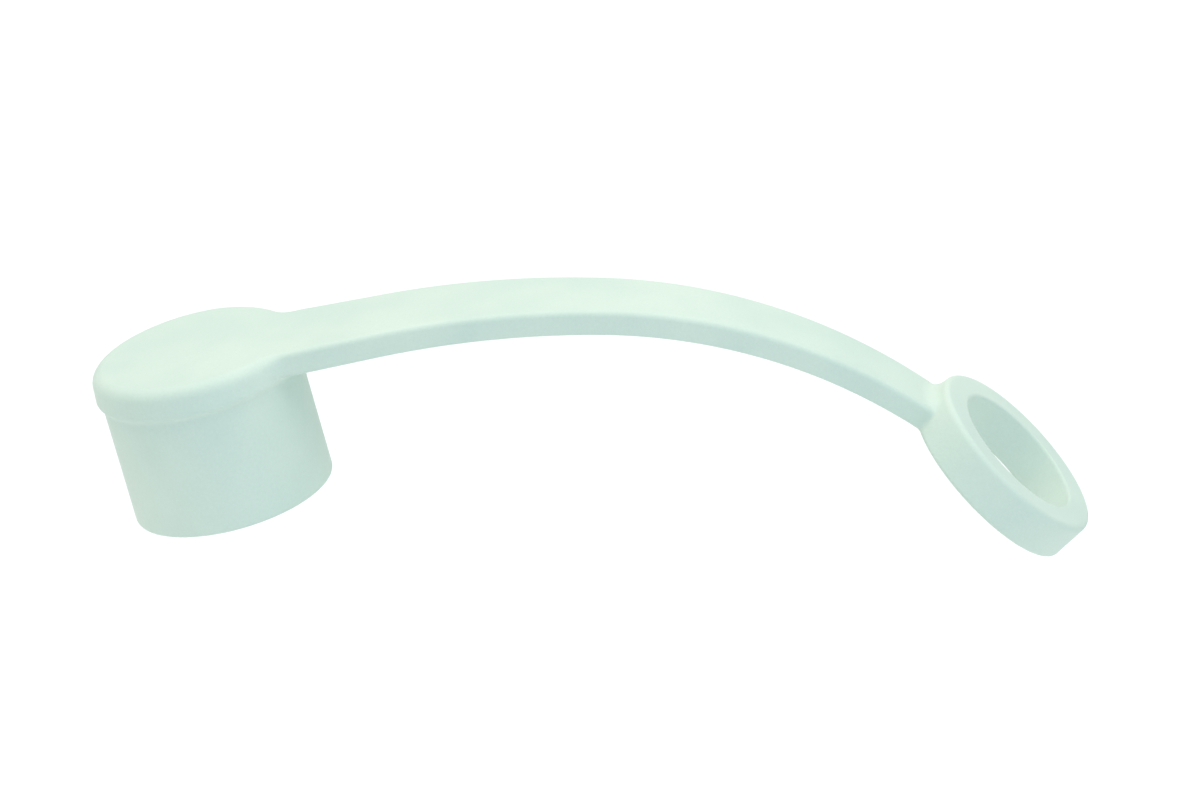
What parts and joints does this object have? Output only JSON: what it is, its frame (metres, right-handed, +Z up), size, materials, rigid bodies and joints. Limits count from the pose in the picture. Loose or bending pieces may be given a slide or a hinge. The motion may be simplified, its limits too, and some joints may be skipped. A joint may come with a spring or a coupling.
{
  "type": "captive pour spout cap",
  "caption": "Soft moulded cap for a pour spout, joined to its retaining ring by a flexible tapering strap; the cap slips over the mouth and the ring stays on the neck.",
  "frame": {"origin": "middle of the footprint box, on the surface that the part stands on as a bridge, on the cap's mouth rim and the ring's lower edge", "axes": "+Z up; +X from the cap to the ring, along the strap; the part is symmetrical about Y = 0"},
  "size_m": [0.1368, 0.0292, 0.0349],
  "materials": {
    "moulded_silicone": "matte, pale mint, slightly translucent moulded silicone"
  },
  "bodies": {
    "ring": {"ring": "moulded_silicone", "strap_neck": "moulded_silicone"},
    "strap_13": {"strap_section_13": "moulded_silicone"},
    "strap_12": {"strap_section_12": "moulded_silicone"},
    "strap_11": {"strap_section_11": "moulded_silicone"},
    "strap_10": {"strap_section_10": "moulded_silicone"},
    "strap_09": {"strap_section_09": "moulded_silicone"},
    "strap_08": {"strap_section_08": "moulded_silicone"},
    "strap_07": {"strap_section_07": "moulded_silicone"},
    "strap_06": {"strap_section_06": "moulded_silicone"},
    "strap_05": {"strap_section_05": "moulded_silicone"},
    "strap_04": {"strap_section_04": "moulded_silicone"},
    "strap_03": {"strap_section_03": "moulded_silicone"},
    "strap_02": {"strap_section_02": "moulded_silicone"},
    "strap_01": {"strap_section_01": "moulded_silicone"},
    "cap": {"lid": "moulded_silicone", "barrel": "moulded_silicone", "strap_root": "moulded_silicone"}
  },
  "joints": [
    {"name": "strap_bend_12", "type": "hinge", "parent": "ring", "child": "strap_13", "pos_m": [0.04109, 0, 0.02297], "axis": [0, -1, 0], "range_deg": [-7.4, 10], "stiffness_Nm_per_rad": 0.0344, "springref_deg": 1.36},
    {"name": "strap_bend_11", "type": "hinge", "parent": "strap_13", "child": "strap_12", "pos_m": [0.03568, 0, 0.02582], "axis": [0, -1, 0], "range_deg": [-5.4, 10], "stiffness_Nm_per_rad": 0.036, "springref_deg": 1.51},
    {"name": "strap_bend_10", "type": "hinge", "parent": "strap_12", "child": "strap_11", "pos_m": [0.03006, 0, 0.02823], "axis": [0, -1, 0], "range_deg": [-5.4, 10], "stiffness_Nm_per_rad": 0.0376, "springref_deg": 1.64},
    {"name": "strap_bend_09", "type": "hinge", "parent": "strap_11", "child": "strap_10", "pos_m": [0.02426, 0, 0.03017], "axis": [0, -1, 0], "range_deg": [-7.7, 10], "stiffness_Nm_per_rad": 0.0261, "springref_deg": 2.61},
    {"name": "strap_twist_2", "type": "hinge", "parent": "strap_10", "child": "strap_09", "pos_m": [0.01829, 0, 0.03141], "axis": [0.9794, 0, -0.2018], "range_deg": [-17, 17], "stiffness_Nm_per_rad": 0.0063},
    {"name": "strap_bend_08", "type": "hinge", "parent": "strap_09", "child": "strap_08", "pos_m": [0.0123, 0, 0.03264], "axis": [0, -1, 0], "range_deg": [-7.7, 10], "stiffness_Nm_per_rad": 0.0282, "springref_deg": 2.8},
    {"name": "strap_bend_07", "type": "hinge", "parent": "strap_08", "child": "strap_07", "pos_m": [0.0062, 0, 0.03314], "axis": [0, -1, 0], "range_deg": [-5.4, 10], "stiffness_Nm_per_rad": 0.0439, "springref_deg": 1.89},
    {"name": "strap_bend_06", "type": "hinge", "parent": "strap_07", "child": "strap_06", "pos_m": [0.00009, 0, 0.03316], "axis": [0, -1, 0], "range_deg": [-4, 10], "stiffness_Nm_per_rad": 0.0454, "springref_deg": 1.89},
    {"name": "strap_bend_05", "type": "hinge", "parent": "strap_06", "child": "strap_05", "pos_m": [-0.00602, 0, 0.03284], "axis": [0, -1, 0], "range_deg": [-4.7, 10], "stiffness_Nm_per_rad": 0.0314, "springref_deg": 2.8},
    {"name": "strap_twist_1", "type": "hinge", "parent": "strap_05", "child": "strap_04", "pos_m": [-0.01208, 0, 0.0321], "axis": [0.9927, 0, 0.1206], "range_deg": [-17, 17], "stiffness_Nm_per_rad": 0.0078},
    {"name": "strap_bend_04", "type": "hinge", "parent": "strap_04", "child": "strap_03", "pos_m": [-0.01816, 0, 0.03136], "axis": [0, -1, 0], "range_deg": [-4.7, 10], "stiffness_Nm_per_rad": 0.0335, "springref_deg": 2.62},
    {"name": "strap_bend_03", "type": "hinge", "parent": "strap_03", "child": "strap_02", "pos_m": [-0.02416, 0, 0.03021], "axis": [0, -1, 0], "range_deg": [-3.3, 10], "stiffness_Nm_per_rad": 0.0518, "springref_deg": 1.66},
    {"name": "strap_bend_02", "type": "hinge", "parent": "strap_02", "child": "strap_01", "pos_m": [-0.03011, 0, 0.0288], "axis": [0, -1, 0], "range_deg": [-1.6, 10], "stiffness_Nm_per_rad": 0.0533, "springref_deg": 1.56},
    {"name": "strap_bend_01", "type": "hinge", "parent": "strap_01", "child": "cap", "pos_m": [-0.03604, 0, 0.02731], "axis": [0, -1, 0], "range_deg": [-0.8, 10], "stiffness_Nm_per_rad": 0.0549, "springref_deg": 1.44}
  ]
}
